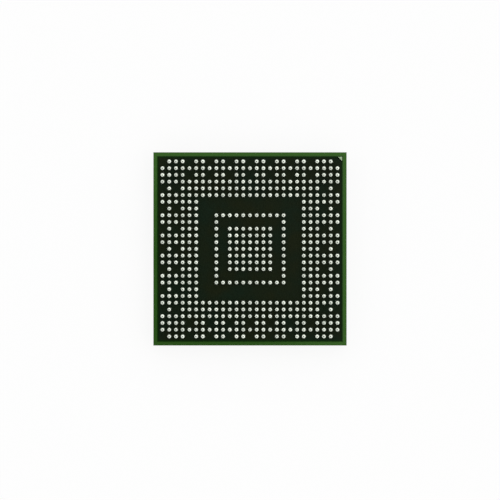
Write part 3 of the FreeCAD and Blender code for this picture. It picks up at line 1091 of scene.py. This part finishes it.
@dataclass
class Capacitors(Assembly):
    """Twelve chip capacitors in four rows round the die, with the solder at their ends."""

    count: int = 12
    cap_length: float = 0.25 * MM
    cap_skin: float = 0.03 * MM
    corner: float = 0.06 * MM
    corner_inset: float = 0.6
    corner_steps: int = 3
    chip_crease: float = 40.0
    solder_gap: float = 0.03 * MM
    window_depth: float = 0.03 * MM
    window_margin: float = 0.05 * MM
    margin_shares: tuple[float, ...] = (1.0, 0.5, 0.0)
    seat: float = 0.008 * MM
    seat_shares: tuple[float, ...] = (1.0, 0.6, 0.2)
    toe: float = 0.2 * MM
    climb: float = 0.34 * MM
    side_climb: float = 0.16 * MM
    hollow: float = 0.5
    crown_power: int = 4
    slope_steps: int = 6
    solder_crease: float = 55.0

    @property
    def size(self) -> Vector:
        """Length, width and height of the first chip, over its end caps."""
        low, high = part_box("capacitor_01_end_caps")
        return high - low

    def build(self) -> None:
        """Makes the blocks, the end caps and the solder, each as one piece for all the chips."""
        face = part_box("die_side_mask")[0].z
        blocks = [f"capacitor_{number:02d}_block" for number in range(1, self.count + 1)]
        caps = [f"capacitor_{number:02d}_end_caps" for number in range(1, self.count + 1)]
        places = []
        turns = []
        for low, high in map(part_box, caps):
            size = high - low
            places.append(((low.x + high.x) / 2, (low.y + high.y) / 2, face))
            turns.append(0.0 if size.x > size.y else math.pi / 2)
        made = (
            ("capacitor_blocks", self._block(), Slot.CERAMIC, blocks),
            ("capacitor_end_caps", self._end_caps(), Slot.TIN, caps),
            ("capacitor_solder_fillets", self._solder(), Slot.SOLDER, ["capacitor_solder"]),
        )
        tree = self.tree()
        for name, shape, slot, nodes in made:
            pattern = bpy.data.objects.new(f"{name}_pattern", shape)
            values = {"Chip": pattern, "Finish": self.finishes.of(slot)}
            data = tree.run(places_mesh(places, turns), values)
            bpy.data.objects.remove(pattern)
            self.finishes.add_piece(name, data, slot, nodes)

    def tree(self) -> Tree:
        """Builds the tree that sets one shape at every chip, head down.

        Returns:
            The tree.
        """
        tree = Tree("chip_rows", {"Places": "Geometry", "Chip": "Object", "Finish": "Material"})
        chip = {"Object": tree.given("Chip")}
        settings = {"data_type": "FLOAT"}
        turn = tree.wire("GeometryNodeInputNamedAttribute", settings, {"Name": "turn"})
        sockets = {
            "Points": tree.given("Places"),
            "Instance": tree.wire("GeometryNodeObjectInfo", sockets=chip, output="Geometry"),
            "Rotation": tree.join(x=math.pi, z=turn),
        }
        placed = tree.wire("GeometryNodeInstanceOnPoints", sockets=sockets)
        tree.finish(placed, tree.given("Finish"))
        return tree

    def _section(self, x: float, width: float, low: float, high: float, corner: float) -> Ring:
        """Upright ring across a chip, with round corners.

        Args:
            x: Place along the chip.
            width: Width across the chip.
            low: Height of its lower side above the board.
            high: Height of its upper side.
            corner: Corner radius.

        Returns:
            The ring of points.
        """
        ring = []
        centre = (low + high) / 2
        half_width = width / 2 - corner
        half_height = (high - low) / 2 - corner
        for quarter, (y_way, z_way) in enumerate(((1, 1), (-1, 1), (-1, -1), (1, -1))):
            for step in range(self.corner_steps + 1):
                angle = math.radians(90 * (quarter + step / self.corner_steps))
                y = y_way * half_width + corner * math.cos(angle)
                z = centre + z_way * half_height + corner * math.sin(angle)
                ring.append((x, y, z))
        return ring

    def _block(self) -> Mesh:
        """Ceramic block of one chip, with slightly rounded long edges.

        Returns:
            Its mesh, head up on the board.
        """
        size = self.size
        low = self.solder_gap + self.cap_skin
        high = self.solder_gap + size.z - self.cap_skin
        half = size.x / 2 - self.cap_skin
        width = size.y - 2 * self.cap_skin
        corner = self.corner - self.cap_skin
        shape = bmesh.new()
        loft(shape, [self._section(x, width, low, high, corner) for x in (-half, half)])
        return mesh_of(shape, self.chip_crease)

    def _end_caps(self) -> Mesh:
        """Two cups that wrap the ends of one chip.

        Returns:
            Their mesh.
        """
        shape = bmesh.new()
        size = self.size
        half = size.x / 2
        skin = self.cap_skin
        lip = half - self.cap_length
        profile = [(half - skin, skin), (lip, skin), (lip, skin / 2), (lip + skin / 2, 0.0)]
        for step in range(self.corner_steps + 1):
            angle = math.radians(90 * step / self.corner_steps)
            reach = half - self.corner * (1 - math.sin(angle))
            profile.append((reach, self.corner * (1 - math.cos(angle))))
        for way in (-1, 1):
            rings = []
            for x, inset in profile:
                width = size.y - 2 * inset
                low, high = self.solder_gap + inset, self.solder_gap + size.z - inset
                corner = self.corner - inset * self.corner_inset
                rings.append(self._section(way * x, width, low, high, corner))
            loft(shape, rings)
        return mesh_of(shape, self.chip_crease)

    def _solder(self) -> Mesh:
        """Solder at both ends of one chip: it fills its window and climbs in a hollow slope.

        Returns:
            Its mesh.
        """
        shape = bmesh.new()
        end, half_chip = self.size.xy / 2
        slope = [1 - step / self.slope_steps for step in range(self.slope_steps + 1)]
        along = [end + self.toe * share for share in slope]
        along += [end - self.corner, end - self.cap_length]
        half = [half_chip + self.window_margin * share for share in self.margin_shares]
        half += [(half_chip - self.seat) * share for share in self.seat_shares]
        across = half + [-y for y in reversed(half)]
        for way in (-1, 1):
            rows = []
            for x in along:
                heights = [self._solder_height(x - end, abs(y), half_chip) for y in across]
                rows.append([shape.verts.new((way * x, y, z)) for y, z in zip(across, heights)])
            for near, far in zip(rows, rows[1:]):
                for index in range(len(across) - 1):
                    shape.faces.new((near[index], near[index + 1], far[index + 1], far[index]))
            rim = rows[0] + [row[-1] for row in rows[1:]]
            rim += rows[-1][-2::-1] + [row[0] for row in rows[-2:0:-1]]
            sunk = [shape.verts.new((*top.co.xy, -self.window_depth)) for top in rim]
            band(shape, rim, sunk)
            shape.faces.new(sunk)
        return mesh_of(shape, self.solder_crease)

    def _solder_height(self, beyond: float, aside: float, half_chip: float) -> float:
        """Height of the solder's surface over its window.

        Args:
            beyond: How far the place lies past the chip's end.
            aside: How far it lies from the chip's middle line.
            half_chip: Half the chip's width.

        Returns:
            Height above the mask's face.
        """
        if beyond > -self.cap_length / 2:
            away = max(0.0, beyond) / self.toe
            crown = 1 - (aside / (half_chip + self.window_margin)) ** self.crown_power
            return self.climb * (1 - away) * (1 - self.hollow * away) * crown
        if aside < half_chip:
            return self.solder_gap
        return self.side_climb * (1 - (aside - half_chip) / self.window_margin) ** 2


@dataclass
class Studio:
    """White table under a soft dome, and the camera straight above."""

    floor_half: float = 0.6
    floor_drop: float = 0.02 * MM
    floor_colour: Colour = (0.92, 0.92, 0.92)
    floor_roughness: float = 0.9
    floor_glow: float = 0.88
    shade_width: float = 1.6
    dome_level: float = 1.25
    lean_right: float = 0.14
    lean_up: float = 0.12
    horizon_lift: float = 0.45
    opening_way: Point = (-0.19, -0.18, 0.965)
    opening: Limits = (48.0, 8.0)
    lens: float = 135.0
    frame_width: float = 59.4 * MM
    frame_pixels: float = 500.0
    centre_pixel_y: float = 248.9
    sensor: float = 36.0
    clip: Limits = (0.1, 20.0)

    def build(self) -> None:
        """Makes the floor, the light and the camera."""
        self._floor()
        self._dome()
        self._camera()
        bpy.context.scene.view_settings.view_transform = "Standard"

    def _floor(self) -> None:
        """White table top: camera and gloss see it white, but for the shade under the package."""
        reach, z = self.floor_half, -self.floor_drop
        corners = [(-reach, -reach, z), (reach, -reach, z), (reach, reach, z), (-reach, reach, z)]
        data = bpy.data.meshes.new("table_top")
        data.from_pydata(corners, [], [(0, 1, 2, 3)])
        floor = in_scene(bpy.data.objects.new("table_top", data))
        surface = Surface("white_table")
        sockets = {
            "Base Color": self.floor_colour,
            "Roughness": self.floor_roughness,
            "Specular IOR Level": 0.0,
        }
        data.materials.append(surface.dress(sockets))
        rays = ("Is Camera Ray", "Is Glossy Ray")
        seen_by = [surface.wire("ShaderNodeLightPath", output=ray) for ray in rays]
        seen = surface.math("MAXIMUM", *seen_by)
        edge = CAD_BOX[1].x * PER_MM
        in_the_open = surface.smooth(surface.from_middle(), edge - self.shade_width, edge)
        glow = surface.wire("ShaderNodeEmission", sockets={"Color": WHITE, "Strength": 1.0})
        lit = Wire(surface, surface.shader.outputs[0])
        share = seen * in_the_open * self.floor_glow
        mixed = surface.wire("ShaderNodeMixShader", sockets={0: share, 1: lit, 2: glow})
        surface.feed(surface.tree.nodes["Material Output"].inputs["Surface"], mixed)

    def _dome(self) -> None:
        """Soft dome, a little brighter to the right and the top, with a dark opening overhead."""
        world = bpy.data.worlds.new("soft_dome")
        world.use_nodes = True
        bpy.context.scene.world = world
        dome = Graph(world.node_tree)
        way = dome.wire("ShaderNodeTexCoord", output="Generated")
        x, y, z = dome.split(way)
        towards = dome.vector("DOT_PRODUCT", way, self.opening_way, output="Value")
        rim = (math.cos(math.radians(angle)) for angle in self.opening)
        low_down = 1 - dome.math("ABSOLUTE", z)
        level = self.dome_level * (1 + self.lean_right * x + self.lean_up * y)
        level = level * (1 + self.horizon_lift * low_down * low_down)
        level = level * (1 - dome.smooth(towards, *rim))
        seen = dome.wire("ShaderNodeLightPath", output="Is Camera Ray")
        background = dome.tree.nodes["Background"]
        dome.feed(background.inputs["Color"], WHITE)
        dome.feed(background.inputs["Strength"], level * (1 - seen) + seen)

    def _camera(self) -> None:
        """Camera straight above, with the package where the photograph has it."""
        data = bpy.data.cameras.new("camera")
        data.lens = self.lens
        data.sensor_width = self.sensor
        camera = in_scene(bpy.data.objects.new("camera", data))
        bpy.context.scene.camera = camera
        distance = self.frame_width * self.lens / self.sensor
        pixel = self.frame_width / self.frame_pixels
        shift = (self.centre_pixel_y - self.frame_pixels / 2) * pixel
        camera.location = (0.0, shift, CAD_BOX[1].z + distance)
        data.clip_start, data.clip_end = (distance * share for share in self.clip)


def main() -> None:
    """Builds the package and the studio, and reports each piece."""
    logging.basicConfig(level=logging.INFO, format="%(name)s: %(message)s")
    finishes = Finishes()
    for assembly in (Board, BallGrid, Die, Capacitors):
        assembly(finishes).build()
    Studio().build()


if __name__ == "__main__":
    main()
